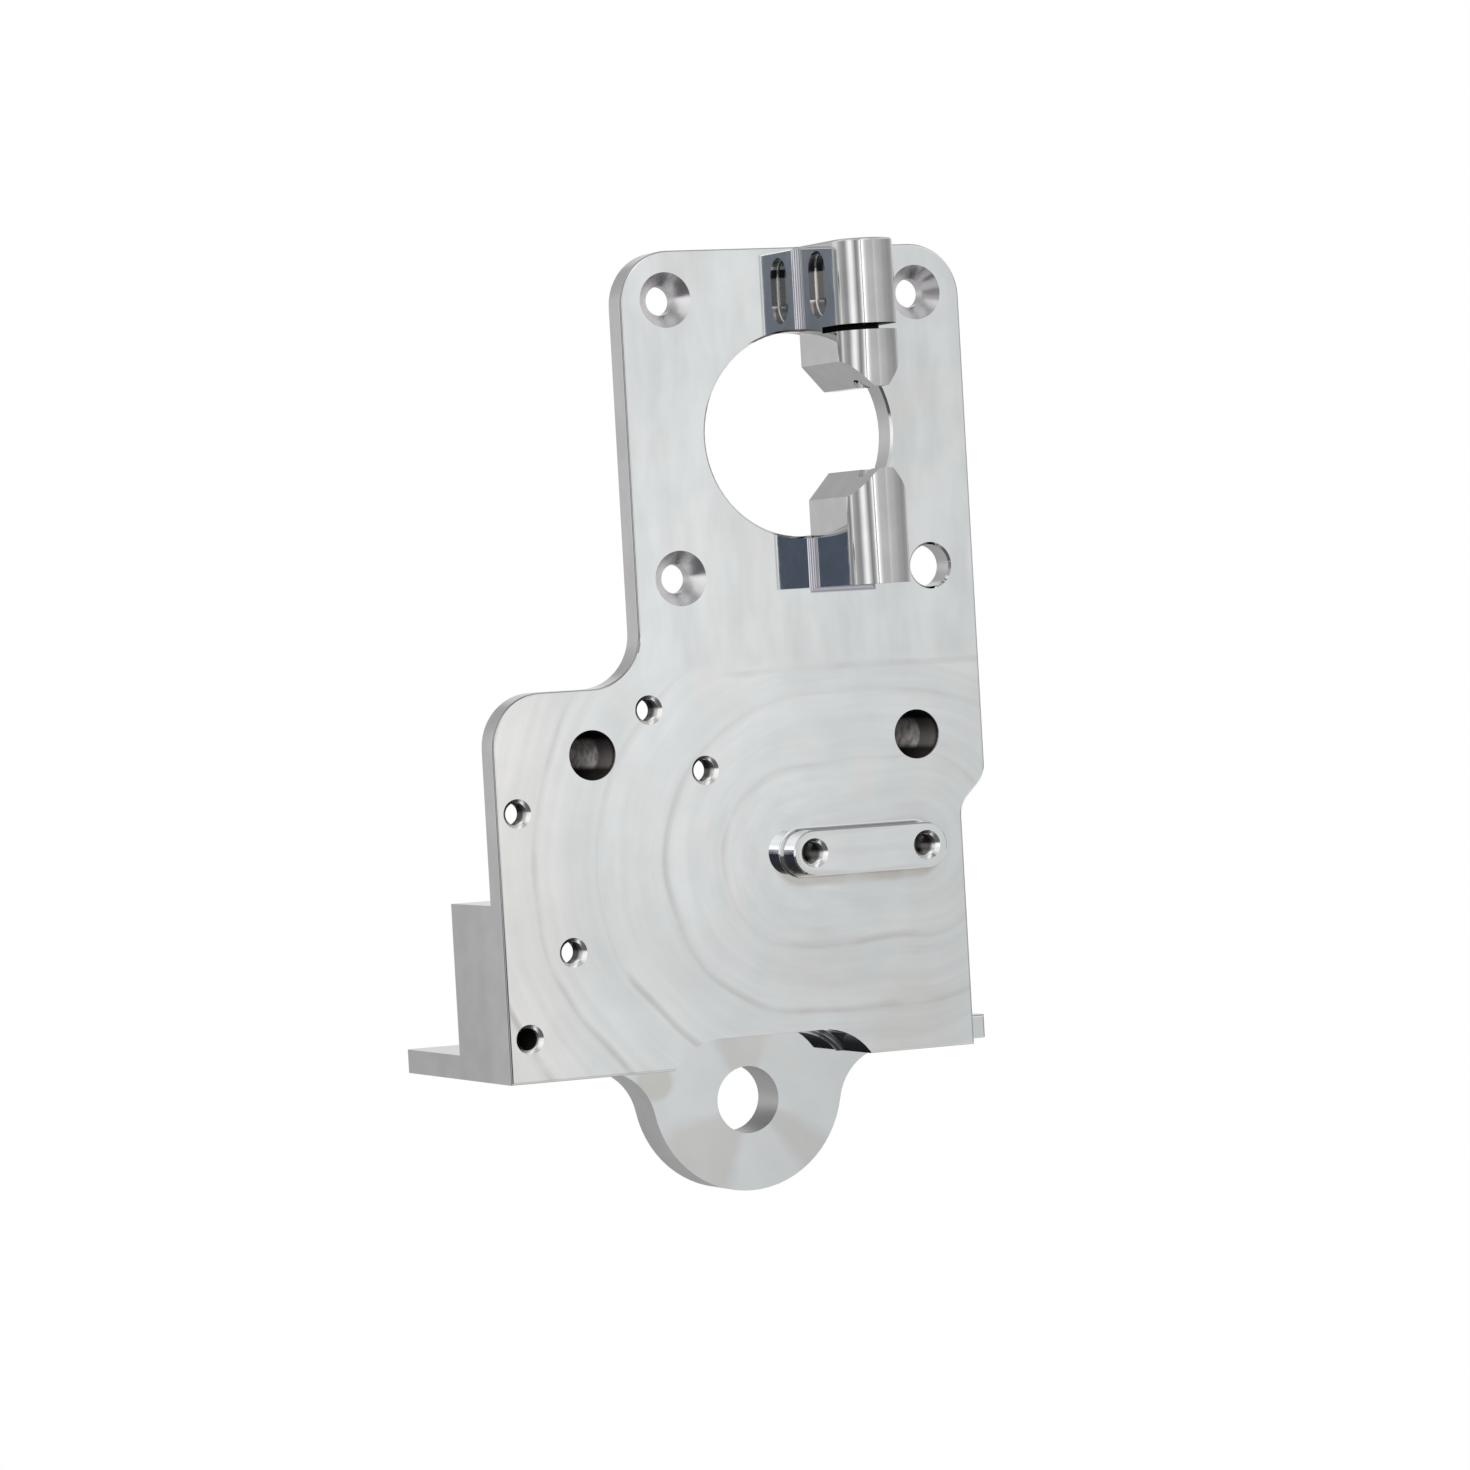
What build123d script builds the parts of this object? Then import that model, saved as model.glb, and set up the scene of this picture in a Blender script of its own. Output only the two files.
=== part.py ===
"""Machined extruder body: a motor plate with filament bosses, a rear flange and a hanging lug."""

import os
from math import sqrt

from build123d import *

# Sizes are in millimetres. The origin is the centre of the motor bore in the rear face,
# +X runs to the right seen from the front, +Y to the rear and +Z up.

# Motor plate
plate_thickness = 3.2
motor_plate_width = 42.0
motor_plate_rise = 21.0
plate_corner_radius = 6.0
motor_bore_diameter = 23.0
motor_screw_spacing = 31.0
motor_screw_diameter = 3.3
motor_countersink_diameter = 6.2
pivot_hole_diameter = 4.8
edge_break = 0.25
edge_radius = 0.3
root_radius = 0.65

# Lower plate, measured from the motor axis
left_reach = 39.25
shoulder_drop = 27.2
right_step_drop = 39.6
right_step_width = 3.25
right_step_radius = 3.0
bottom_drop = 70.15

# Filament bosses
filament_axis_x = 4.4
filament_axis_reach = 9.4
filament_hole_diameter = 3.2
boss_width = 7.0
boss_tip_gap = 9.1
boss_tip_chamfer_width = 2.65
boss_tip_chamfer_height = 2.95
lower_boss_drop = 17.3
clip_pocket_width = 4.3
clip_pocket_height = 7.5
clip_pocket_rise = 16.4
clip_pocket_reach = 5.05
clip_pocket_depth = 0.9
clip_pocket_radius = 0.2
relief_cut_height = 0.7
relief_cut_rise = 11.2
relief_cut_start = 5.7

# Bracket pad
pad_height = 5.1
pad_thickness = 3.5
pad_drop = 46.95
pad_edge_break = 0.15
pad_root_radius = 0.35
pad_screw_spacing = 14.0
pad_screw_depth = 5.5

# Rear flange, corner block and posts, with depths measured from the front face
flange_thickness = 2.7
flange_depth = 31.4
flange_side_reach = 5.35
flange_corner_radius = 0.4
block_width = 6.0
block_top_drop = 50.4
block_depth = 15.0
block_foot_radius = 2.0
post_spacing = 40.0
post_drop = 34.5
post_diameter = 10.0
post_edge_gap = 3.4
post_hole_diameter = 5.6
post_hole_depth = 12.0

# Hanging lug, midway between the posts, its reaches measured below the plate
lug_setback = 7.8
lug_thickness = 5.5
lug_radius = 11.75
lug_arc_reach = 3.15
lug_root_radius = 6.5
lug_hole_diameter = 7.6
lug_hole_reach = 4.6
notch_width = 26.6
notch_height = 3.15
notch_corner_radius = 7.0

# Small tapped holes: one pair beside the left post, the others in from the left edge
tapped_hole_diameter = 2.5
tapped_hole_chamfer = 0.4
near_hole_offset = 7.1
near_hole_drop = 29.9
far_hole_offset = 13.55
far_hole_drop = 37.0
edge_hole_inset = 2.5
edge_hole_drop = 40.4
inner_hole_inset = 8.25
inner_hole_drop = 56.1
block_hole_height = 4.9
block_hole_depth = 12.0

# Distance within which a face or edge counts as lying on a plane
touch = 0.01

# Heights and planes that follow from the sizes above
front_y = -plate_thickness
half_motor_plate = motor_plate_width / 2
lower_right_x = half_motor_plate - right_step_width
flange_right_x = lower_right_x + flange_side_reach
flange_tip_y = front_y + flange_depth
lug_face_y = front_y + lug_setback
block_back_y = front_y + block_depth
right_post_x = half_motor_plate - post_edge_gap - post_diameter / 2
left_post_x = right_post_x - post_spacing
lug_axis_x = (left_post_x + right_post_x) / 2
edge_hole_x = edge_hole_inset - left_reach
tapped_hole_places = [
    (left_post_x + near_hole_offset, -near_hole_drop),
    (left_post_x + far_hole_offset, -far_hole_drop),
    (edge_hole_x, -edge_hole_drop),
    (inner_hole_inset - left_reach, -inner_hole_drop),
]
boss_half = boss_width / 2
boss_centre_y = front_y - filament_axis_reach
tip_z = boss_tip_gap / 2
pad_face_y = front_y - pad_thickness
half_pad = (pad_screw_spacing + pad_height) / 2
half_tip_flat = boss_half - boss_tip_chamfer_width
lug_arc_drop = bottom_drop + lug_arc_reach
lug_hole_drop = bottom_drop + lug_hole_reach
lug_root_rise = lug_arc_reach - lug_root_radius
lug_root_span = sqrt((lug_radius + lug_root_radius) ** 2 - lug_root_rise**2)
root_touch_x = lug_root_span * lug_radius / (lug_radius + lug_root_radius)
root_touch_z = lug_root_rise * lug_radius / (lug_radius + lug_root_radius) - lug_arc_drop
motor_face = Plane.XZ
front_face = Plane.XZ.offset(plate_thickness)

# Boss beside the drive gear, above the gap
with BuildPart() as upper_boss:
    with BuildSketch(Plane.XY):
        with Locations((filament_axis_x, boss_centre_y)):
            Circle(boss_half)
        with Locations((filament_axis_x, front_y + edge_radius)):
            Rectangle(boss_width, filament_axis_reach + edge_radius, align=(Align.CENTER, Align.MAX))
    extrude(amount=motor_plate_rise)
    with BuildSketch(motor_face):
        with BuildLine():
            Polyline(
                (filament_axis_x - half_tip_flat, tip_z),
                (filament_axis_x + half_tip_flat, tip_z),
                (filament_axis_x + boss_half, tip_z + boss_tip_chamfer_height),
                (filament_axis_x + boss_half, motor_plate_rise),
                (filament_axis_x - boss_half, motor_plate_rise),
                (filament_axis_x - boss_half, tip_z + boss_tip_chamfer_height),
                close=True,
            )
        make_face()
    extrude(amount=plate_thickness + filament_axis_reach + boss_width, mode=Mode.INTERSECT)

# Boss below the gap
with BuildPart() as lower_boss:
    with BuildSketch(Plane.XY):
        with Locations((filament_axis_x, boss_centre_y)):
            Circle(boss_half)
        with Locations((filament_axis_x, front_y + edge_radius)):
            Rectangle(boss_width, filament_axis_reach + edge_radius, align=(Align.CENTER, Align.MAX))
    extrude(amount=-lower_boss_drop)
    with BuildSketch(motor_face):
        with BuildLine():
            Polyline(
                (filament_axis_x - half_tip_flat, -tip_z),
                (filament_axis_x + half_tip_flat, -tip_z),
                (filament_axis_x + boss_half, -tip_z - boss_tip_chamfer_height),
                (filament_axis_x + boss_half, -lower_boss_drop),
                (filament_axis_x - boss_half, -lower_boss_drop),
                (filament_axis_x - boss_half, -tip_z - boss_tip_chamfer_height),
                close=True,
            )
        make_face()
    extrude(amount=plate_thickness + filament_axis_reach + boss_width, mode=Mode.INTERSECT)

# Motor bore with its front edge break, kept clear of the overhanging bosses
with BuildPart() as bore_cut:
    with BuildSketch(Plane.XY):
        with BuildLine():
            Polyline(
                (0, plate_thickness),
                (motor_bore_diameter / 2, plate_thickness),
                (motor_bore_diameter / 2, front_y + edge_break),
                (motor_bore_diameter / 2 + edge_break, front_y),
                (motor_bore_diameter / 2 + edge_break, front_y - 2 * root_radius),
                (0, front_y - 2 * root_radius),
                close=True,
            )
        make_face()
    revolve(axis=Axis.Y)
    add(upper_boss.part, mode=Mode.SUBTRACT)
    add(lower_boss.part, mode=Mode.SUBTRACT)

# Clearance notch in front of the lug, with a small radius where it meets the lug's face
with BuildPart() as notch_cut:
    with BuildSketch(front_face):
        with Locations((lug_axis_x, notch_height - bottom_drop)):
            RectangleRounded(
                notch_width, 3 * notch_corner_radius, notch_corner_radius, align=(Align.CENTER, Align.MAX)
            )
    extrude(amount=-lug_setback)
    fillet(edges().group_by(Axis.Y)[-1], root_radius)

with BuildPart() as body:
    # Plate outline
    with BuildSketch(motor_face):
        with BuildLine():
            Polyline(
                (-half_motor_plate, motor_plate_rise),
                (half_motor_plate, motor_plate_rise),
                (half_motor_plate, -right_step_drop),
                (lower_right_x, -right_step_drop - right_step_width),
                (lower_right_x, -bottom_drop),
                (-left_reach, -bottom_drop),
                (-left_reach, -shoulder_drop),
                (-half_motor_plate, -shoulder_drop),
                close=True,
            )
        make_face()
        corners = vertices().sort_by(Axis.Y)
        fillet(corners[4:], plate_corner_radius)
        steps = vertices().filter_by_position(
            Axis.Y, -right_step_drop - right_step_width - touch, -right_step_drop + touch
        )
        fillet(steps, right_step_radius)
    extrude(amount=plate_thickness)

    # Bosses and their root radii
    add(upper_boss.part)
    add(lower_boss.part)
    root_edges = edges().filter_by_position(Axis.Y, front_y - touch, front_y + touch)
    root_edges = root_edges.filter_by_position(
        Axis.X, filament_axis_x - boss_half - touch, filament_axis_x + boss_half + touch
    )
    root_edges = root_edges.filter_by_position(
        Axis.Z, -lower_boss_drop - touch, motor_plate_rise - touch
    )
    fillet(root_edges, root_radius)

    # Bracket pad
    with BuildSketch(front_face):
        with Locations((filament_axis_x, -pad_drop)):
            SlotCenterToCenter(pad_screw_spacing, pad_height)
    extrude(amount=pad_thickness)
    pad_rim = edges().filter_by_position(Axis.Y, pad_face_y - touch, pad_face_y + touch)
    chamfer(pad_rim, pad_edge_break)
    pad_roots = edges().filter_by_position(Axis.Y, front_y - touch, front_y + touch)
    pad_roots = pad_roots.filter_by_position(
        Axis.Z, -pad_drop - pad_height / 2 - touch, -pad_drop + pad_height / 2 + touch
    )
    pad_roots = pad_roots.filter_by_position(
        Axis.X, filament_axis_x - half_pad - touch, filament_axis_x + half_pad + touch
    )
    fillet(pad_roots, pad_root_radius)

    # Rounded edge around the front of the plate
    front_skin = faces().filter_by_position(Axis.Y, front_y - touch, front_y + touch)
    outline = front_skin.sort_by(SortBy.AREA)[-1].outer_wire().edges()
    root_half = boss_half + root_radius + touch
    boss_side = outline.filter_by_position(
        Axis.X, filament_axis_x - root_half, filament_axis_x + root_half
    ).filter_by_position(Axis.Z, 0, motor_plate_rise + touch)
    fillet([edge for edge in outline if edge not in boss_side], edge_radius)

    # Rear flange, its right end stepped back behind the front plane
    with BuildSketch(Plane.XY.offset(-bottom_drop)):
        with BuildLine():
            Polyline(
                (-left_reach, 0),
                (lower_right_x, 0),
                (lower_right_x, lug_face_y),
                (flange_right_x, lug_face_y),
                (flange_right_x, flange_tip_y),
                (-left_reach, flange_tip_y),
                close=True,
            )
        make_face()
        fillet(vertices().group_by(Axis.Y)[-1], flange_corner_radius)
    extrude(amount=flange_thickness)
    flange_end = edges().filter_by_position(Axis.Y, lug_face_y - touch, lug_face_y + touch)
    flange_end = flange_end.filter_by_position(Axis.X, lower_right_x + touch, flange_right_x + touch)
    fillet(flange_end, edge_radius)

    # Corner block between the plate and the flange
    with BuildSketch(motor_face):
        with Locations((-left_reach, -bottom_drop)):
            Rectangle(block_width, bottom_drop - block_top_drop, align=(Align.MIN, Align.MIN))
    extrude(amount=-block_back_y)
    foot_x = block_width - left_reach
    foot_z = flange_thickness - bottom_drop
    foot_edge = edges().filter_by(Axis.Y).filter_by_position(
        Axis.X, foot_x - touch, foot_x + touch
    ).filter_by_position(Axis.Z, foot_z - touch, foot_z + touch)
    fillet(foot_edge, block_foot_radius)

    # Tapped posts behind the plate
    with BuildSketch(motor_face):
        with Locations((lug_axis_x, -post_drop)):
            with GridLocations(post_spacing, 0, 2, 1):
                Circle(post_diameter / 2)
    extrude(amount=-block_back_y)

    # Hanging lug below the flange, with a hollow radius on each side of its root
    with BuildSketch(Plane.XZ.offset(-lug_face_y)):
        with BuildLine():
            left_root = RadiusArc(
                (lug_axis_x - lug_root_span, -bottom_drop),
                (lug_axis_x - root_touch_x, root_touch_z),
                lug_root_radius,
            )
            right_root = RadiusArc(
                (lug_axis_x + lug_root_span, -bottom_drop),
                (lug_axis_x + root_touch_x, root_touch_z),
                -lug_root_radius,
            )
            ThreePointArc(left_root @ 1, (lug_axis_x, -lug_arc_drop - lug_radius), right_root @ 1)
            Polyline(
                left_root @ 0,
                (lug_axis_x - lug_root_span, flange_thickness - bottom_drop),
                (lug_axis_x + lug_root_span, flange_thickness - bottom_drop),
                right_root @ 0,
            )
        make_face()
    extrude(amount=-lug_thickness)

    # Clearance notch in front of the lug
    add(notch_cut.part, mode=Mode.SUBTRACT)

    # Motor bore
    add(bore_cut.part, mode=Mode.SUBTRACT)

    # Motor screw holes, three countersunk and one plain for an idler pivot
    with Locations(front_face):
        with Locations(
            (-motor_screw_spacing / 2, motor_screw_spacing / 2),
            (motor_screw_spacing / 2, motor_screw_spacing / 2),
            (-motor_screw_spacing / 2, -motor_screw_spacing / 2),
        ):
            CounterSinkHole(motor_screw_diameter / 2, motor_countersink_diameter / 2, plate_thickness)
        with Locations((motor_screw_spacing / 2, -motor_screw_spacing / 2)):
            CounterSinkHole(
                pivot_hole_diameter / 2, pivot_hole_diameter / 2 + edge_break, plate_thickness
            )

    # Blind tapped holes into the posts
    with Locations(front_face):
        with Locations((lug_axis_x, -post_drop)):
            with GridLocations(post_spacing, 0, 2, 1):
                Hole(post_hole_diameter / 2, post_hole_depth)

    # Small tapped holes through the plate, and one blind into the corner block
    with Locations(front_face):
        with Locations(*tapped_hole_places):
            CounterSinkHole(
                tapped_hole_diameter / 2, tapped_hole_diameter / 2 + tapped_hole_chamfer, plate_thickness
            )
        with Locations((edge_hole_x, block_hole_height - bottom_drop)):
            CounterSinkHole(
                tapped_hole_diameter / 2, tapped_hole_diameter / 2 + tapped_hole_chamfer, block_hole_depth
            )

    # Blind tapped holes in the bracket pad
    with Locations(front_face.offset(pad_thickness)):
        with Locations((filament_axis_x, -pad_drop)):
            with GridLocations(pad_screw_spacing, 0, 2, 1):
                CounterSinkHole(
                    tapped_hole_diameter / 2, tapped_hole_diameter / 2 + tapped_hole_chamfer, pad_screw_depth
                )

    # Lug hole
    with Locations(Plane.XZ.offset(-lug_face_y)):
        with Locations((lug_axis_x, -lug_hole_drop)):
            Hole(lug_hole_diameter / 2, lug_thickness)

    # Filament hole down through both bosses
    with Locations((filament_axis_x, boss_centre_y, motor_plate_rise)):
        Hole(filament_hole_diameter / 2, motor_plate_rise + lower_boss_drop)

    # Shallow clip pocket in the left side of the upper boss
    with BuildSketch(Plane.YZ.offset(filament_axis_x - boss_half)):
        with Locations((front_y - clip_pocket_reach, clip_pocket_rise)):
            SlotOverall(clip_pocket_height, clip_pocket_width, rotation=90)
    extrude(amount=clip_pocket_depth, mode=Mode.SUBTRACT)
    pocket_floor_x = filament_axis_x - boss_half + clip_pocket_depth
    pocket_floor = edges().filter_by_position(Axis.X, pocket_floor_x - touch, pocket_floor_x + touch)
    pocket_floor = pocket_floor.filter_by_position(Axis.Z, tip_z, motor_plate_rise - touch)
    fillet(pocket_floor, clip_pocket_radius)

    # Relief cut into the front of the upper boss
    with BuildSketch(Plane.XY.offset(relief_cut_rise - relief_cut_height / 2)):
        with Locations((filament_axis_x, front_y - relief_cut_start)):
            Rectangle(2 * boss_width, 2 * boss_width, align=(Align.CENTER, Align.MAX))
    extrude(amount=relief_cut_height, mode=Mode.SUBTRACT)

body.part.label = "extruder_body"
os.makedirs("parts", exist_ok=True)
export_step(body.part, "parts/extruder_body.step")
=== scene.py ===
import bpy
import math
from mathutils import Matrix, Vector
from types import SimpleNamespace

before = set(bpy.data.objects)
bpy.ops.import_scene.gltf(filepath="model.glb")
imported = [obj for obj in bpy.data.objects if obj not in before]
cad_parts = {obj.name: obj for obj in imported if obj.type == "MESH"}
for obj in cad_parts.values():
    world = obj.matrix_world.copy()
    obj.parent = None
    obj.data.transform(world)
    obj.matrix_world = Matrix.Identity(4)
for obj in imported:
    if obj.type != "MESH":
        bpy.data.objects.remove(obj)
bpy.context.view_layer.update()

MM = 0.001
DEGREES_PER_RADIAN = 180 / math.pi

# Places and sizes of the part in millimetres, the pairs as x and z
FRONT_Y = -3.2
PAD_CENTRE = (4.4, -46.95)
PAD_HALF_SPAN = 7.0
PAD_RADIUS = 2.55
PAD_THICKNESS = 3.5
BOSSES_CENTRE = (4.4, 1.85)
BOSSES_HALF = (3.5, 19.15)
SAW_CUT_Z = 11.2
POCKET_FLOOR_X = 1.8
POCKET_Y = -8.25
POCKET_Z = 16.4
POCKET_HALF_SPAN = 1.6
POCKET_RADIUS = 2.15
LUG_HOLE = (-7.4, -74.75)
LUG_HOLE_RADIUS = 3.8
POST_HOLE_RADIUS = 2.8
TAPPED_RADIUS = 1.25
TAPPED_MOUTH_RADIUS = 1.65
CONE_RADIUS = 3.1
POST_HOLES = ((-27.4, -34.5), (12.6, -34.5))
TAPPED_HOLES = (
    (-20.3, -29.9), (-13.85, -37.0), (-36.75, -40.4), (-31.0, -56.1),
    (-36.75, -65.25), (-2.6, -46.95), (11.4, -46.95),
)
COUNTERSINKS = ((-15.5, 15.5), (15.5, 15.5), (-15.5, -15.5))

# Marks on the metal, and the patch of painted light in the deep holes, in millimetres, but for the sectors:
# middle and half width in degrees
PASS_WIDTH = 7.4
PASS_WANDER = 4.5
TOP_PASS_Z = -26.3
STREAK_CENTRE = (-4.0, -46.95)
LIT_PATCH_Z = -34.4
LUG_LEFT_END = (-18.8, -71.8)
DULL_SECTORS = ((104, 27), (-121, 27), (-28, 15))

# Relief: pitches in millimetres, heights in steps of the bump's own distance
POST_THREAD_PITCH = 0.8
FINE_THREAD_PITCH = 0.5
RELIEF_STEP = 0.06
POST_THREAD_HEIGHT = 23.0
FINE_THREAD_HEIGHT = 14.4
WAVINESS_HEIGHT = 0.02

# Tones that the metal mirrors round the horizon, above and below it: azimuth in degrees from
# the front, rising to the right, and tone
LEVEL_TONES = [
    (-180, 0.57), (-165, 0.62), (-154, 0.69), (-142, 0.95), (-126, 0.98), (-118, 0.72), (-110, 0.58),
    (-102, 0.47), (-94, 0.40), (-86, 0.44), (-78, 0.90), (-70, 1.38), (-62, 1.34), (-54, 0.80), (-46, 0.34),
    (-40, 0.43), (-35, 0.66), (-29, 1.62), (-22, 2.05), (-14, 1.06), (-6, 0.73), (14, 0.68), (19, 0.72),
    (22.5, 0.88), (27, 0.725), (42, 0.64), (66, 0.48), (90, 0.40), (110, 0.45), (130, 0.76), (146, 0.87),
    (180, 0.57),
]
UPPER_TONES = [
    (-180, 0.50), (-160, 0.54), (-130, 0.92), (-105, 0.85), (-90, 0.66), (-76, 1.22), (-62, 0.85),
    (-45, 0.72), (-28, 0.62), (-15, 1.40), (-2, 1.28), (12, 0.95), (20, 0.78), (45, 0.92), (90, 0.82),
    (130, 0.72), (165, 0.74), (180, 0.50),
]
LOWER_TONES = [
    (-180, 0.48), (-160, 0.50), (-130, 0.86), (-114, 0.78), (-100, 0.24), (-88, 0.12), (-75, 0.15),
    (-45, 0.10), (-15, 0.05), (5, 0.06), (14, 0.14), (26, 0.60), (45, 0.80), (90, 1.0), (120, 0.90),
    (150, 0.36), (180, 0.46),
]

# Things in the studio by azimuth, and a dim patch high on the right by azimuth and elevation
STAND_AZIMUTH = -20
CAMERA_AZIMUTH = -25.2
DIM_PATCH = (85, 65)

# The floor in metres
FLOOR_SIZE = 6.0
FLOOR_HEIGHT = -0.18

# The photograph's camera, solved from the square of motor screws: angles in radians
VIEW_AZIMUTH = 0.4256757
VIEW_ELEVATION = 0.0192280
VIEW_ROLL = -0.0566533
FOCAL_PIXELS = 5901.6852
FRAME_PIXELS = 1470
SENSOR_WIDTH = 36.0
EYE = Vector((-282.234, -603.651, -20.6017)) * MM


class Nodes:
    """Builds one node tree. A value is a socket, a number or a colour."""

    def __init__(self, tree):
        self.tree = tree

    def add(self, kind, **settings):
        """A new node with its settings."""
        node = self.tree.nodes.new(kind)
        for name, setting in settings.items():
            setattr(node, name, setting)
        return node

    def put(self, value, socket):
        """Gives an input socket its value."""
        if isinstance(value, (int, float)):
            socket.default_value = value
        elif isinstance(value, tuple):
            socket.default_value = (*value, 1.0)
        else:
            self.tree.links.new(value, socket)

    def math(self, kind, *values):
        """Output of one Math node."""
        node = self.add("ShaderNodeMath", operation=kind)
        for value, socket in zip(values, node.inputs):
            self.put(value, socket)
        return node.outputs[0]

    def times(self, *factors):
        """Product of several values."""
        product = factors[0]
        for factor in factors[1:]:
            product = self.math("MULTIPLY", product, factor)
        return product

    def gap(self, value, centre):
        """How far a value is from a centre, to either side."""
        return self.math("ABSOLUTE", self.math("SUBTRACT", value, centre))

    def step(self, value, low, high, out_low=0.0, out_high=1.0):
        """Smooth step: out_low where the value is low, out_high where it is high."""
        node = self.add("ShaderNodeMapRange", interpolation_type="SMOOTHSTEP")
        self.put(value, node.inputs["Value"])
        self.put(low, node.inputs["From Min"])
        self.put(high, node.inputs["From Max"])
        self.put(out_low, node.inputs["To Min"])
        self.put(out_high, node.inputs["To Max"])
        return node.outputs["Result"]

    def mix(self, amount, first, second):
        """Colour between two others."""
        node = self.add("ShaderNodeMix", data_type="RGBA")
        colours = [socket for socket in node.inputs if socket.type == "RGBA"]
        self.put(amount, node.inputs[0])
        self.put(first, colours[0])
        self.put(second, colours[1])
        return next(socket for socket in node.outputs if socket.type == "RGBA")

    def grey(self, tone):
        """Grey of one tone."""
        node = self.add("ShaderNodeCombineColor")
        for channel in node.inputs:
            self.put(tone, channel)
        return node.outputs[0]

    def vector(self, **parts):
        """Vector with some of its parts X, Y and Z given."""
        node = self.add("ShaderNodeCombineXYZ")
        for name, value in parts.items():
            self.put(value, node.inputs[name])
        return node.outputs[0]

    def parts(self, vector):
        """X, Y and Z of a vector."""
        node = self.add("ShaderNodeSeparateXYZ")
        self.put(vector, node.inputs[0])
        return node.outputs["X"], node.outputs["Y"], node.outputs["Z"]

    def scale(self, vector, factor):
        """Vector or colour times a number."""
        node = self.add("ShaderNodeVectorMath", operation="SCALE")
        self.put(vector, node.inputs[0])
        self.put(factor, node.inputs["Scale"])
        return node.outputs[0]

    def noise(self, vector, scale, detail, roughness=0.5):
        """Noise of a given scale per unit of the vector."""
        node = self.add("ShaderNodeTexNoise")
        self.put(vector, node.inputs["Vector"])
        self.put(scale, node.inputs["Scale"])
        self.put(detail, node.inputs["Detail"])
        self.put(roughness, node.inputs["Roughness"])
        return node.outputs[0]

    def from_points(self, flat, *points):
        """Distance in the plate's plane from the nearest of some points."""
        nearest = None
        for x, z in points:
            node = self.add("ShaderNodeVectorMath", operation="DISTANCE")
            self.put(flat, node.inputs[0])
            node.inputs[1].default_value = (x, 0.0, z)
            distance = node.outputs["Value"]
            nearest = distance if nearest is None else self.math("MINIMUM", nearest, distance)
        return nearest

    def from_box(self, across, up, centre, half):
        """Distance outside a box, from its centre and half of its sizes."""
        side = self.math("MAXIMUM", self.math("SUBTRACT", self.gap(across, centre[0]), half[0]), 0.0)
        end = self.math("MAXIMUM", self.math("SUBTRACT", self.gap(up, centre[1]), half[1]), 0.0)
        return self.math("SQRT", self.math("MULTIPLY_ADD", side, side, self.times(end, end)))


def material(name):
    """A new material, its nodes and its shader."""
    made = bpy.data.materials.new(name)
    made.use_nodes = True
    return made, Nodes(made.node_tree), made.node_tree.nodes["Principled BSDF"]


def surface(n):
    """Where a point of the metal is, in millimetres, how it faces, and masks of its regions.

    Masks fade between two limits: millimetres for places, parts of the normal for facings.
    """
    at = SimpleNamespace()
    at.spot = n.scale(n.add("ShaderNodeTexCoord").outputs["Object"], 1 / MM)
    at.x, at.y, at.z = n.parts(at.spot)
    at.flat = n.vector(X=at.x, Z=at.z)
    normal = n.add("ShaderNodeNewGeometry").outputs["Normal"]
    at.facing_x, at.facing_y, at.facing_z = n.parts(normal)
    at.turned = n.math("ABSOLUTE", at.facing_y)

    at.in_front = n.step(at.y, -2.9, -3.1)
    at.low_plate = n.times(n.step(at.z, -24.5, -27.0), at.in_front)
    at.on_lug = n.times(n.step(at.y, 2, 3), n.step(at.z, -66, -67))
    at.off_lug = n.math("SUBTRACT", 1.0, at.on_lug)
    at.on_boss = n.times(
        n.step(n.gap(at.x, BOSSES_CENTRE[0]), 4.4, 4.2),
        n.step(at.y, -3.3, -3.6),
        n.step(at.z, -30, -28),
    )
    from_pad_line = n.from_box(at.x, at.z, PAD_CENTRE, (PAD_HALF_SPAN, 0.0))
    at.round_pad = n.math("SUBTRACT", from_pad_line, PAD_RADIUS)
    return at


def turn_about(n, at, centre):
    """Angle about a point of the plate's plane, in radians from the right."""
    return n.math("ARCTAN2", n.math("SUBTRACT", at.z, centre[1]), n.math("SUBTRACT", at.x, centre[0]))


def cutter_passes(n, at):
    """Loops that the cutter left round the pad, the painted shading across each from its tilt, and the
    ridges between them.
    """
    cut = SimpleNamespace()
    cut.wander = n.times(n.math("SUBTRACT", n.noise(at.flat, 0.04, 2.0), 0.5), PASS_WANDER)
    cut.loops = n.math("ADD", at.round_pad, cut.wander)
    across = n.math("FRACT", n.math("DIVIDE", cut.loops, PASS_WIDTH))
    cut_here = n.times(at.low_plate, at.off_lug)
    cut.across = n.times(across, cut_here)

    # Ridges, uneven along their length and strongest to the lower left
    patchy = n.step(n.noise(at.flat, 0.085, 3.0), 0.38, 0.62, 0.15, 1.1)
    to_left = n.step(at.x, -14, -26, 1.0, 1.4)
    to_bottom = n.step(at.z, -32, -54, 0.6, 1.15)
    ridge = n.times(n.step(n.gap(across, 0.5), 0.41, 0.49), patchy, cut_here, to_left, to_bottom)

    # The topmost pass, which ends in a nearly level line
    above_line = n.math("MULTIPLY_ADD", cut.wander, 0.35, n.math("SUBTRACT", at.z, TOP_PASS_Z))
    top_line = n.step(n.math("ABSOLUTE", above_line), 0.55, 0.1)
    top_line = n.times(top_line, n.step(at.x, -14, -8), at.in_front, patchy)
    cut.ridge = n.math("MAXIMUM", ridge, top_line)
    return cut


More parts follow.
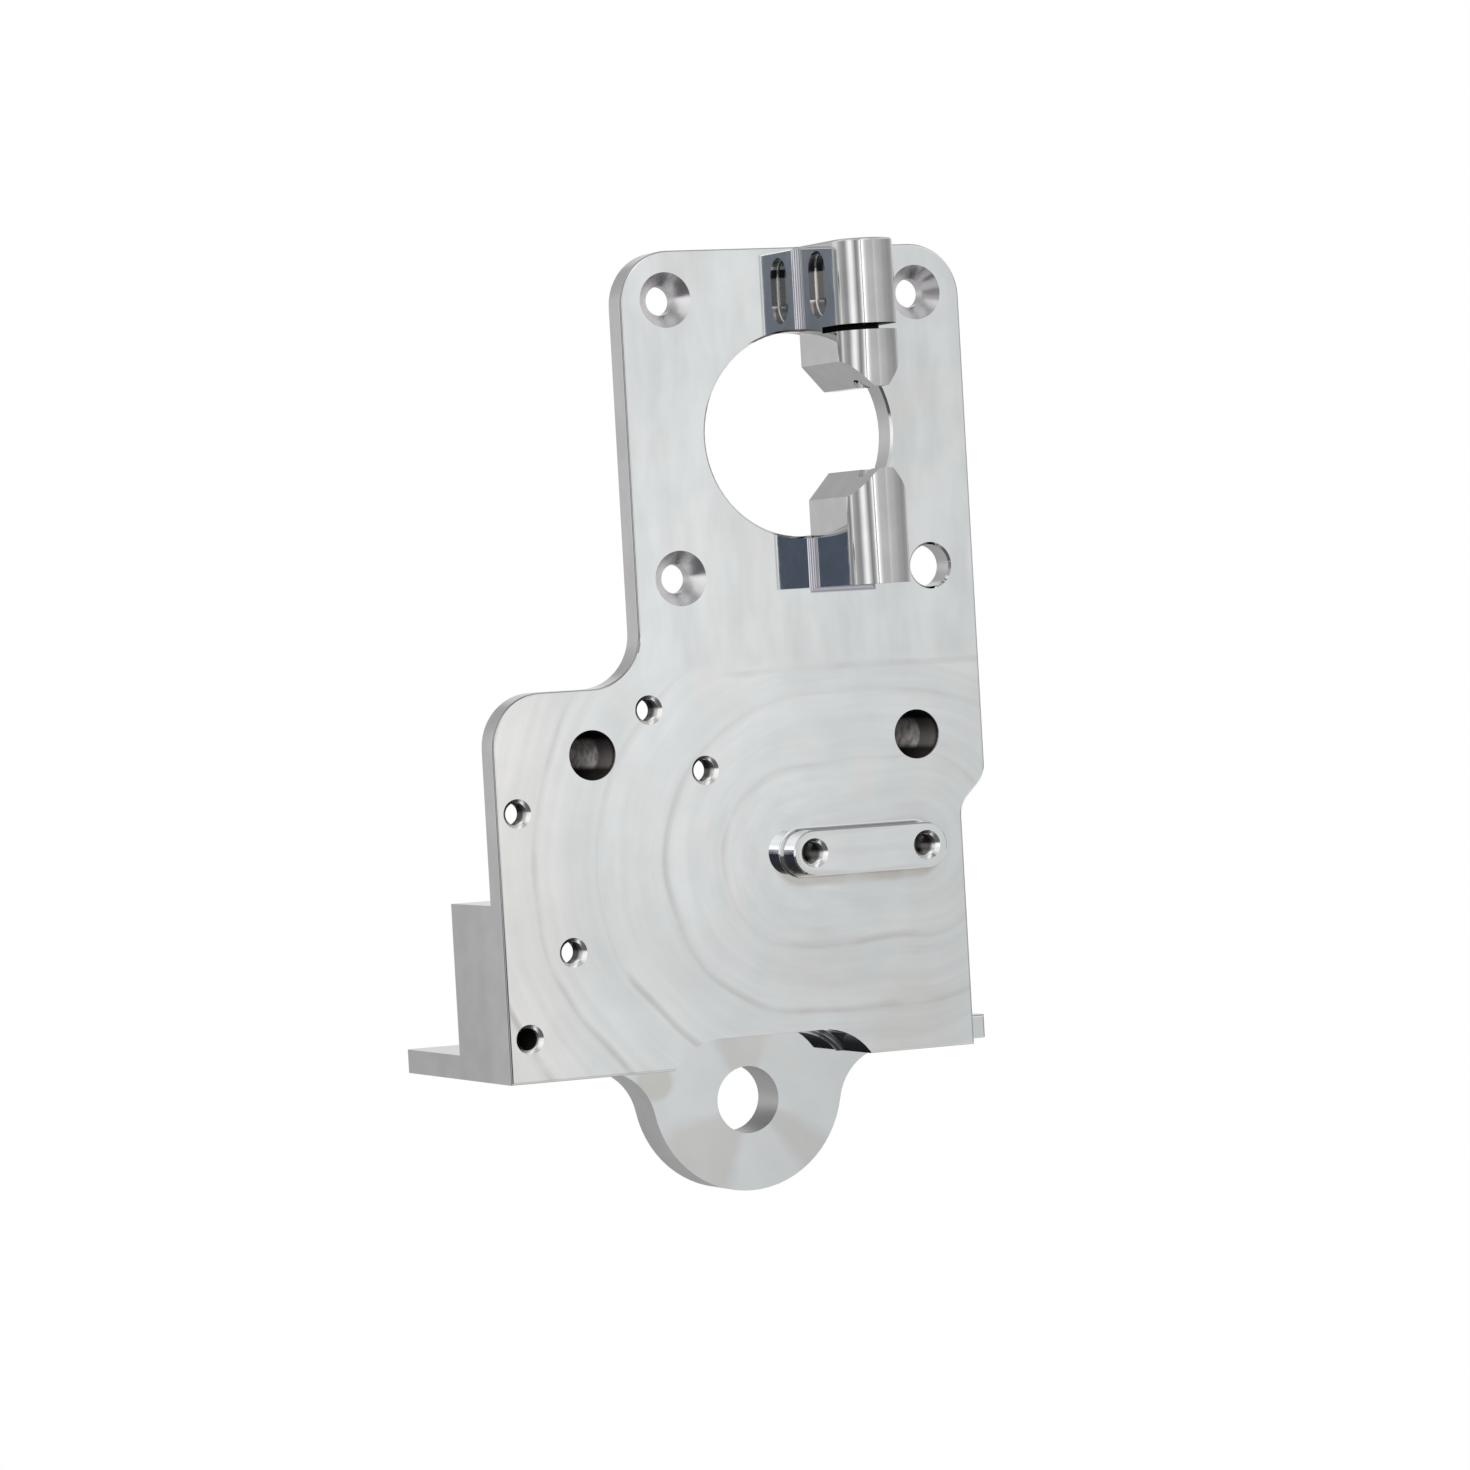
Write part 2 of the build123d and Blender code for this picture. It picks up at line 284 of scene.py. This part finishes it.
def streaks(n, at, cut):
    """Fine streaks, along the passes on the lower plate and upright everywhere else."""
    along = n.times(n.math("ABSOLUTE", turn_about(n, at, STREAK_CENTRE)), 1.6)
    by_pass = n.noise(n.vector(X=cut.loops, Y=along), 0.65, 2.0, 0.6)
    beside = n.math("ADD", at.x, cut.wander)
    upright = n.noise(n.vector(X=beside, Y=n.times(at.z, 0.22)), 0.19, 3.0, 0.6)
    low = n.times(n.step(by_pass, 0.3, 0.7, -0.03, 0.03), at.low_plate)
    high = n.times(n.step(upright, 0.32, 0.68, -0.06, 0.06), n.math("SUBTRACT", 1.0, at.low_plate))
    return n.times(n.math("ADD", low, high), at.off_lug)


def lug_tone(n, at):
    """Bright and dull sectors round the lug's hole, as a turned polish leaves them."""
    turn = n.times(turn_about(n, at, LUG_HOLE), DEGREES_PER_RADIAN)
    turn = n.math("MULTIPLY_ADD", n.noise(at.flat, 0.09, 1.0), 24.0, turn)
    dull = 0.0
    for middle, half in DULL_SECTORS:
        dull = n.math("MAXIMUM", dull, n.step(n.gap(turn, middle), half + 8, half - 8))
    tone = n.mix(dull, (0.86, 0.898, 0.912), (0.775, 0.778, 0.76))
    left_end = n.step(n.from_points(at.flat, LUG_LEFT_END), 2.7, 1.7)
    return n.mix(left_end, tone, (0.75, 0.755, 0.72))


def shadow_under_pad(n, at):
    """Painted brown shadow on the plate along the lower side of the pad."""
    return n.times(
        n.step(at.round_pad, 1.6, 0.8),
        n.step(at.z, -47.5, -49),
        n.step(at.y, -3.4, -3.3, 0.0, 0.75),
        at.in_front,
        n.step(n.noise(at.flat, 0.16, 2.0), 0.25, 0.6, 0.45, 1.0),
    )


def face_tint(n, at, cut):
    """Cloudy tints that the polish left on the broad faces, and the painted shadow under the pad."""
    to_low_right = n.math("MULTIPLY_ADD", at.x, 0.35, n.times(at.z, -1.0))
    warm = n.step(n.noise(at.flat, 0.07, 3.0, 0.55), 0.42, 0.66)
    warm = n.times(warm, n.step(to_low_right, 50, 72, 0.35, 1.0))
    tint = n.mix(warm, (0.835, 0.865, 0.868), (0.845, 0.845, 0.83))
    near_left = n.times(n.step(at.x, -26, -38, 0.0, 0.8), at.low_plate)
    tint = n.mix(near_left, tint, (0.90, 0.885, 0.86))
    tint = n.mix(at.on_lug, tint, lug_tone(n, at))
    stain = n.step(n.noise(at.flat, 0.12, 3.0, 0.6), 0.56, 0.72, 0.0, 0.5)
    tint = n.mix(stain, tint, (0.83, 0.805, 0.785))
    tint = n.mix(n.times(cut.ridge, 0.25), tint, (0.84, 0.80, 0.77))
    # Painted shadow on the plate under the pad
    return n.mix(shadow_under_pad(n, at), tint, (0.60, 0.575, 0.53))


def face_shade(n, at, cut):
    """Shade of the broad faces, near 1, from passes, clouds, streaks and ridges."""
    # Across each pass the tone rises a little: painted shading from the tilt of the pass
    shade = n.math("MULTIPLY_ADD", cut.across, 0.045, 0.975)
    shade = n.math("MULTIPLY_ADD", at.on_lug, -0.045, shade)
    wide_clouds = n.step(n.noise(at.flat, 0.042, 3.0), 0.3, 0.7, 0.95, 1.035)
    small_clouds = n.step(n.noise(at.flat, 0.24, 2.0), 0.3, 0.7, 0.98, 1.02)
    shade = n.times(shade, wide_clouds, small_clouds)
    shade = n.math("ADD", shade, streaks(n, at, cut))
    return n.math("MULTIPLY_ADD", cut.ridge, -0.105, shade)


def shaded_side_colour(n, at):
    """Painted shade on the side faces: a darker grey than the broad faces, a little darker again behind the
    plate.
    """
    tone = n.step(n.noise(at.spot, 0.26, 3.0), 0.3, 0.7, 0.61, 0.67)
    return n.grey(n.times(tone, n.step(at.y, 1, 4, 1.0, 0.93)))


def boss_roots(n, at):
    """Painted shade in the hollows where the bosses meet the plate: mask and tone."""
    root = n.times(
        n.step(at.turned, 0.08, 0.25),
        n.step(at.y, -4.0, -3.85),
        n.step(at.y, -3.203, -3.215),
        n.step(n.from_box(at.x, at.z, BOSSES_CENTRE, BOSSES_HALF), 0.8, 0.7),
    )
    return root, n.mix(n.noise(at.spot, 0.26, 1.0), (0.42, 0.42, 0.47), (0.52, 0.50, 0.55))


def left_rim(n, at):
    """The rounded front edge beside the left side faces, darker than the faces it joins."""
    return n.times(
        n.step(at.turned, 0.15, 0.35),
        n.step(at.turned, 0.97, 0.90),
        n.step(at.facing_x, -0.1, -0.3),
        n.step(at.y, -2.8, -2.95),
        n.step(at.x, -19, -20.4),
    )


def notch_roof(n, at):
    """The roof of the notch over the lug, painted dark as shade."""
    return n.times(
        n.step(n.gap(at.x, LUG_HOLE[0]), 13.6, 13.3),
        n.step(at.z, -66.7, -66.9),
        n.step(at.y, -3.15, -3.05),
        n.step(at.y, 4.05, 3.9),
        n.step(at.turned, 0.4, 0.2),
        n.step(at.facing_z, 0.6, 0.3),
    )


def post_holes(n, at):
    """The deep holes, painted dark as shade but for a painted patch of light at mid height, brighter deeper
    in: mask and tone.
    """
    from_axis = n.from_points(at.flat, *POST_HOLES)
    hole = n.times(
        n.step(from_axis, POST_HOLE_RADIUS + 0.15, POST_HOLE_RADIUS + 0.1),
        n.step(at.y, -3.18, -2.9),
        n.step(at.facing_y, 0.6, 0.3),
    )
    hole_shade = n.mix(n.noise(at.spot, 0.7, 3.0), (0.010, 0.009, 0.008), (0.035, 0.031, 0.028))
    lit_patch = n.times(n.step(n.gap(at.z, LIT_PATCH_Z), 1.9, 1.2), n.step(at.y, -3, -1.8), hole)
    lit_patch_tone = n.mix(n.step(at.y, 1.4, 2.4), (0.15, 0.135, 0.13), (0.62, 0.59, 0.57))
    specks = n.step(n.noise(at.spot, 0.9, 2.0), 0.4, 0.65, 0.0, 0.5)
    lit_patch_tone = n.mix(specks, lit_patch_tone, (0.12, 0.11, 0.105))
    return hole, n.mix(lit_patch, hole_shade, lit_patch_tone)


def saw_cut(n, at):
    """The walls of the saw cut in the upper boss, painted dark as shade like the deep holes."""
    return n.times(n.step(n.gap(at.z, SAW_CUT_Z), 0.37, 0.355), n.step(at.y, -8.8, -8.88))


def tapped_holes(n, at):
    """The small holes, bright at the mouth, with painted shade darkening them inside and painted black
    shade where they are closed.
    """
    hole = SimpleNamespace()
    from_axis = n.from_points(at.flat, *TAPPED_HOLES)
    on_pad = n.step(at.round_pad, -0.15, -0.25, 0.0, PAD_THICKNESS)
    depth = n.math("ADD", n.math("SUBTRACT", at.y, FRONT_Y), on_pad)
    in_mouth = n.step(from_axis, TAPPED_MOUTH_RADIUS + 0.05, TAPPED_MOUTH_RADIUS)
    in_bore = n.step(from_axis, TAPPED_RADIUS + 0.1, TAPPED_RADIUS + 0.05)
    on_floor = n.step(from_axis, TAPPED_RADIUS + 0.02, TAPPED_RADIUS - 0.01)
    hole.wall = n.times(in_mouth, n.step(at.turned, 0.95, 0.85))
    hole.thread = n.times(in_bore, n.step(at.turned, 0.4, 0.2))
    hole.floor = n.times(on_floor, n.step(at.facing_y, -0.5, -0.8), n.step(depth, 0.2, 0.5))
    closed = n.times(n.step(at.z, -62, -63), n.step(depth, 0.5, 1.3))
    tone = n.mix(n.step(depth, 0.7, 1.9), (0.78, 0.78, 0.77), (0.11, 0.11, 0.105))
    hole.tone = n.mix(closed, tone, (0.015, 0.015, 0.015))
    hole.matt = n.math("MAXIMUM", hole.floor, n.times(closed, hole.wall))
    return hole


def clip_pocket(n, at):
    """The brownish floor of the clip pocket, with painted shade at its ends: mask and tone."""
    from_line = n.from_box(at.y, at.z, (POCKET_Y, POCKET_Z), (0.0, POCKET_HALF_SPAN))
    floor = n.times(
        n.step(n.gap(at.x, POCKET_FLOOR_X), 0.08, 0.04),
        n.step(from_line, POCKET_RADIUS, POCKET_RADIUS - 0.1),
        n.step(at.facing_x, -0.8, -0.95),
    )
    ends = n.step(n.gap(at.z, POCKET_Z), 1.4, 1.7)
    return floor, n.mix(ends, (0.66, 0.60, 0.51), (0.20, 0.21, 0.20))


def countersinks(n, at):
    """Turned cones, with painted shade where they face up and a painted highlight where they face right."""
    cone = SimpleNamespace()
    from_axis = n.from_points(at.flat, *COUNTERSINKS)
    in_cone = n.step(from_axis, CONE_RADIUS + 0.15, CONE_RADIUS + 0.05)
    cone.mask = n.times(in_cone, n.step(at.turned, 0.93, 0.85))
    tone = n.mix(n.step(at.facing_z, -0.1, 0.5), (0.71, 0.695, 0.715), (0.58, 0.58, 0.58))
    cone.tone = n.mix(n.step(at.facing_x, -0.1, 0.3), tone, (0.98, 0.96, 0.97))
    cone.rough = n.times(cone.mask, n.step(at.facing_x, -0.15, 0.15, 0.17, 0.30))
    return cone


def lug_bore(n, at):
    """The bored wall of the lug's hole, duller than the faces."""
    in_bore = n.step(n.from_points(at.flat, LUG_HOLE), LUG_HOLE_RADIUS + 0.1, LUG_HOLE_RADIUS + 0.05)
    return n.times(in_bore, n.step(at.turned, 0.6, 0.4))


def boss_noses(n, at):
    """The rounded noses of the bosses, a little duller than their sides."""
    return n.times(at.on_boss, n.step(at.y, -12, -12.6))


def thread_relief(n, at, post_hole, thread):
    """Bumped normal from the threads in the holes and a faint waviness in the polish."""
    coarse = n.times(n.math("FRACT", n.math("DIVIDE", at.y, POST_THREAD_PITCH)), post_hole)
    fine = n.times(n.math("FRACT", n.math("DIVIDE", at.y, FINE_THREAD_PITCH)), thread)
    height = n.math("MULTIPLY_ADD", coarse, POST_THREAD_HEIGHT, n.times(fine, FINE_THREAD_HEIGHT))
    height = n.math("MULTIPLY_ADD", n.noise(at.spot, 0.11, 1.0), WAVINESS_HEIGHT, height)
    bump = n.add("ShaderNodeBump")
    n.put(1.0, bump.inputs["Strength"])
    n.put(RELIEF_STEP * MM, bump.inputs["Distance"])
    n.put(height, bump.inputs["Height"])
    return bump.outputs["Normal"]


def polished_metal():
    """Bright milled aluminium with the marks of its cutters and its polish, and painted shade and light in
    its holes, hollows and side faces.
    """
    made, n, shader = material("polished_metal")
    n.put(1.0, shader.inputs["Metallic"])
    at = surface(n)
    cut = cutter_passes(n, at)
    root, root_tone = boss_roots(n, at)
    post_hole, hole_shade = post_holes(n, at)
    # Where painted shade goes: the deep holes and the saw cut
    dark = n.math("MAXIMUM", post_hole, saw_cut(n, at))
    tapped = tapped_holes(n, at)
    pocket, pocket_tone = clip_pocket(n, at)
    cone = countersinks(n, at)
    bored = lug_bore(n, at)

    # Colour: milled faces and side faces with their painted shade first, then what lies over them
    milled = n.times(n.step(at.turned, 0.80, 0.97), n.math("SUBTRACT", 1.0, at.on_boss))
    face = n.scale(face_tint(n, at, cut), face_shade(n, at, cut))
    colour = n.mix(milled, shaded_side_colour(n, at), face)
    # Painted shade in the hollows at the roots of the bosses
    colour = n.mix(root, colour, root_tone)
    colour = n.mix(left_rim(n, at), colour, (0.36, 0.36, 0.37))
    # Painted shade on the roof of the notch
    colour = n.mix(notch_roof(n, at), colour, (0.085, 0.085, 0.09))
    # Painted shade in the deep holes and the saw cut, with a painted patch of light in the holes
    colour = n.mix(dark, colour, hole_shade)
    # Painted shade in the small holes, darker with depth and black where closed
    colour = n.mix(tapped.wall, colour, tapped.tone)
    # Painted black shade on the floors of the small holes
    colour = n.mix(tapped.floor, colour, (0.02, 0.02, 0.02))
    # Brownish pocket floor with painted shade at its ends
    colour = n.mix(pocket, colour, pocket_tone)
    # Countersinks, with painted shade facing up and a painted highlight facing right
    colour = n.mix(cone.mask, colour, cone.tone)
    colour = n.mix(bored, colour, (0.52, 0.52, 0.525))
    n.put(colour, shader.inputs["Base Color"])

    # Roughness: a bright polish, duller on what follows
    rough = n.step(n.noise(at.spot, 0.32, 3.0), 0.35, 0.7, 0.02, 0.045)
    duller = (
        (cut.ridge, 0.05), (dark, 0.40), (boss_noses(n, at), 0.06), (tapped.wall, 0.12),
        (tapped.matt, 0.40), (root, 0.08), (bored, 0.28),
    )
    for mask, amount in duller:
        rough = n.math("MULTIPLY_ADD", mask, amount, rough)
    n.put(n.math("ADD", rough, cone.rough), shader.inputs["Roughness"])
    n.put(thread_relief(n, at, post_hole, tapped.thread), shader.inputs["Normal"])
    return made


def tones_round(n, turn, stops):
    """Tones round the horizon by azimuth, which turn gives as 0 to 1."""
    ramp = n.add("ShaderNodeValToRGB")
    ramp.color_ramp.interpolation = "EASE"
    elements = ramp.color_ramp.elements
    elements.remove(elements[-1])
    for index, (azimuth, tone) in enumerate(stops):
        at = (azimuth + 180) / 360
        element = elements[0] if index == 0 else elements.new(at)
        element.position = at
        element.color = (tone, tone, tone, 1.0)
    n.put(turn, ramp.inputs["Fac"])
    return ramp.outputs["Color"]


def degrees_from(n, direction, azimuth, elevation):
    """Degrees between a direction and a fixed one."""
    a = math.radians(azimuth)
    e = math.radians(elevation)
    node = n.add("ShaderNodeVectorMath", operation="DOT_PRODUCT")
    n.put(direction, node.inputs[0])
    node.inputs[1].default_value = (math.sin(a) * math.cos(e), -math.cos(a) * math.cos(e), math.sin(e))
    return n.times(n.math("ARCCOSINE", node.outputs["Value"]), DEGREES_PER_RADIAN)


def studio():
    """Plain pale studio, darker where the camera stands and below it; the eye sees it white."""
    world = bpy.data.worlds.new("studio")
    world.use_nodes = True
    n = Nodes(world.node_tree)
    direction = n.add("ShaderNodeTexCoord").outputs["Generated"]
    to_x, to_y, to_z = n.parts(direction)
    azimuth = n.times(n.math("ARCTAN2", to_x, n.times(to_y, -1.0)), DEGREES_PER_RADIAN)
    turn = n.math("MULTIPLY_ADD", azimuth, 1 / 360, 0.5)
    lift = n.times(n.math("ARCSINE", to_z), DEGREES_PER_RADIAN)

    sky = n.scale(tones_round(n, turn, LEVEL_TONES), n.step(lift, -6, 1, 0.83, 1.0))
    sky = n.mix(n.step(lift, 8, 22), sky, tones_round(n, turn, UPPER_TONES))
    sky = n.mix(n.step(lift, 42, 70), sky, (0.58, 0.58, 0.58))
    sky = n.mix(n.step(degrees_from(n, direction, *DIM_PATCH), 24, 12), sky, (0.42, 0.43, 0.44))
    sky = n.mix(n.step(lift, -6, -12), sky, tones_round(n, turn, LOWER_TONES))
    sky = n.mix(n.step(lift, -56, -85), sky, (0.46, 0.46, 0.45))

    # The camera in the middle of the bright side, with its dark stand and table below
    stand = n.times(n.step(n.gap(azimuth, STAND_AZIMUTH), 17, 12), n.step(lift, -1.6, -3.4))
    sky = n.mix(stand, sky, (0.045, 0.045, 0.06))
    beside = n.step(n.gap(azimuth, CAMERA_AZIMUTH), 1.75, 1.2)
    camera_box = n.times(beside, n.step(lift, -7.0, -5.5), n.step(lift, 8.5, 7.0))
    slate = n.mix(n.step(lift, 1.0, 3.6), (0.105, 0.13, 0.175), (0.27, 0.29, 0.34))
    slate = n.mix(n.step(lift, -1.2, -2.0), slate, (0.035, 0.035, 0.05))
    sky = n.mix(camera_box, sky, slate)
    sky = n.mix(n.add("ShaderNodeLightPath").outputs["Is Camera Ray"], sky, (1.0, 1.0, 1.0))
    background = world.node_tree.nodes["Background"]
    n.put(sky, background.inputs["Color"])
    n.put(1.0, background.inputs["Strength"])
    return world


def white_paper():
    """Floor paper: white to the eye, matt to the light that it sends back."""
    made, n, shader = material("white_paper")
    n.put((0.9, 0.9, 0.9), shader.inputs["Base Color"])
    n.put(0.9, shader.inputs["Roughness"])
    glow = n.add("ShaderNodeEmission")
    n.put(1.0, glow.inputs["Strength"])
    either = n.add("ShaderNodeMixShader")
    n.put(n.add("ShaderNodeLightPath").outputs["Is Camera Ray"], either.inputs[0])
    n.put(shader.outputs[0], either.inputs[1])
    n.put(glow.outputs[0], either.inputs[2])
    n.put(either.outputs[0], made.node_tree.nodes["Material Output"].inputs["Surface"])
    return made


def photo_camera():
    """Camera at the photograph's place, direction and focal length."""
    look = Vector((
        math.sin(VIEW_AZIMUTH) * math.cos(VIEW_ELEVATION),
        math.cos(VIEW_AZIMUTH) * math.cos(VIEW_ELEVATION),
        -math.sin(VIEW_ELEVATION),
    ))
    right = look.cross(Vector((0, 0, 1))).normalized()
    up = right.cross(look)
    right_rolled = math.cos(VIEW_ROLL) * right + math.sin(VIEW_ROLL) * up
    up_rolled = -math.sin(VIEW_ROLL) * right + math.cos(VIEW_ROLL) * up
    lens = bpy.data.cameras.new("camera")
    lens.sensor_width = SENSOR_WIDTH
    lens.lens = FOCAL_PIXELS / FRAME_PIXELS * SENSOR_WIDTH
    lens.clip_start = 0.01
    camera = bpy.data.objects.new("camera", lens)
    bpy.context.scene.collection.objects.link(camera)
    turned = Matrix((right_rolled, up_rolled, -look)).transposed().to_4x4()
    camera.matrix_world = Matrix.Translation(EYE) @ turned
    return camera


metal = polished_metal()
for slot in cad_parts["extruder_body"].material_slots:
    slot.material = metal

bpy.ops.mesh.primitive_plane_add(size=FLOOR_SIZE, location=(0, 0, FLOOR_HEIGHT))
floor = bpy.context.object
floor.name = "floor"
floor.data.materials.append(white_paper())
floor.visible_glossy = False

bpy.context.scene.world = studio()
bpy.context.scene.camera = photo_camera()
bpy.context.scene.view_settings.view_transform = "Standard"
